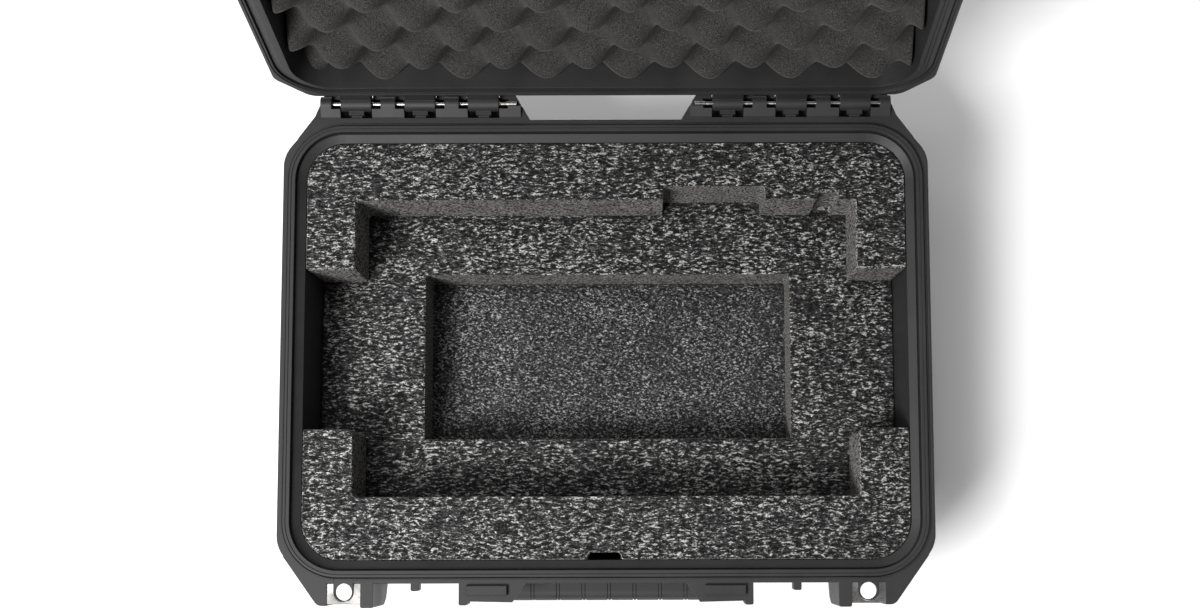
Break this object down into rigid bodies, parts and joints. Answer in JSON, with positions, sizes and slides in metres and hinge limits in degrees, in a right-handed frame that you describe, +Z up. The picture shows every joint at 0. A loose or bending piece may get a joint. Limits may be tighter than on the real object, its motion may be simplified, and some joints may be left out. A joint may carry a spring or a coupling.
{
  "type": "hard equipment case",
  "caption": "Hinged hard equipment case with cut foam, trigger latches, folding carry handle, padlock plates and a lid stop at just past upright.",
  "frame": {"origin": "centre of the underside, on the plane that the feet stand on", "axes": "+Z up, +Y towards the hinge, -Y towards the handle, +X to the right as seen from the handle side"},
  "size_m": [0.5086, 0.5192, 0.5586],
  "materials": {
    "shell_plastic": "satin",
    "latch_plastic": "satin",
    "grip_rubber": "matte",
    "seal_rubber": "matte",
    "membrane": "matte",
    "stainless_steel": "satin",
    "cut_foam": "matte",
    "convoluted_foam": "matte"
  },
  "bodies": {
    "base": {"base_shell": "shell_plastic", "hinge_rod_left": "stainless_steel", "hinge_rod_right": "stainless_steel", "padlock_plate_base_left": "stainless_steel", "padlock_plate_base_right": "stainless_steel", "padlock_collar_base_left": "shell_plastic", "padlock_collar_base_right": "shell_plastic", "handle_pin_left": "stainless_steel", "handle_pin_right": "stainless_steel", "valve_body": "latch_plastic", "valve_seal": "seal_rubber", "valve_membrane": "membrane", "valve_nut": "latch_plastic", "foam_bottom_pad": "cut_foam", "foam_shelf": "cut_foam", "foam_front_strip": "cut_foam", "foam_rear_block": "cut_foam", "foam_front_block": "cut_foam"},
    "lid": {"lid_shell": "shell_plastic", "lid_gasket": "seal_rubber", "lid_foam": "convoluted_foam", "padlock_plate_lid_left": "stainless_steel", "padlock_plate_lid_right": "stainless_steel", "padlock_collar_lid_left": "shell_plastic", "padlock_collar_lid_right": "shell_plastic", "latch_pin_left": "stainless_steel", "latch_pin_right": "stainless_steel"},
    "handle": {"handle_core": "latch_plastic", "handle_grip": "grip_rubber"},
    "latch_left": {"latch_lever_left": "latch_plastic", "trigger_pin_left": "stainless_steel", "trigger_spring_left": "stainless_steel"},
    "trigger_left": {"latch_trigger_left": "latch_plastic"},
    "latch_right": {"latch_lever_right": "latch_plastic", "trigger_pin_right": "stainless_steel", "trigger_spring_right": "stainless_steel"},
    "trigger_right": {"latch_trigger_right": "latch_plastic"}
  },
  "joints": [
    {"name": "lid_hinge", "type": "hinge", "parent": "base", "child": "lid", "pos_m": [0, 0.1947, 0.142], "axis": [1, 0, 0], "range_deg": [0, 102.05]},
    {"name": "handle_fold", "type": "hinge", "parent": "base", "child": "handle", "pos_m": [0, -0.1855, 0.1205], "axis": [-1, 0, 0], "range_deg": [0, 92]},
    {"name": "latch_left_swing", "type": "hinge", "parent": "lid", "child": "latch_left", "pos_m": [-0.1462, 0.29463, 0.51434], "axis": [1, 0, 0], "range_deg": [0, 95]},
    {"name": "trigger_left_pull", "type": "hinge", "parent": "latch_left", "child": "trigger_left", "pos_m": [-0.1462, 0.30282, 0.53694], "axis": [-1, 0, 0], "range_deg": [0, 18], "stiffness_Nm_per_rad": 0.06, "springref_deg": -8.59},
    {"name": "latch_right_swing", "type": "hinge", "parent": "lid", "child": "latch_right", "pos_m": [0.1462, 0.29463, 0.51434], "axis": [1, 0, 0], "range_deg": [0, 95]},
    {"name": "trigger_right_pull", "type": "hinge", "parent": "latch_right", "child": "trigger_right", "pos_m": [0.1462, 0.30282, 0.53694], "axis": [-1, 0, 0], "range_deg": [0, 18], "stiffness_Nm_per_rad": 0.06, "springref_deg": -8.59}
  ]
}
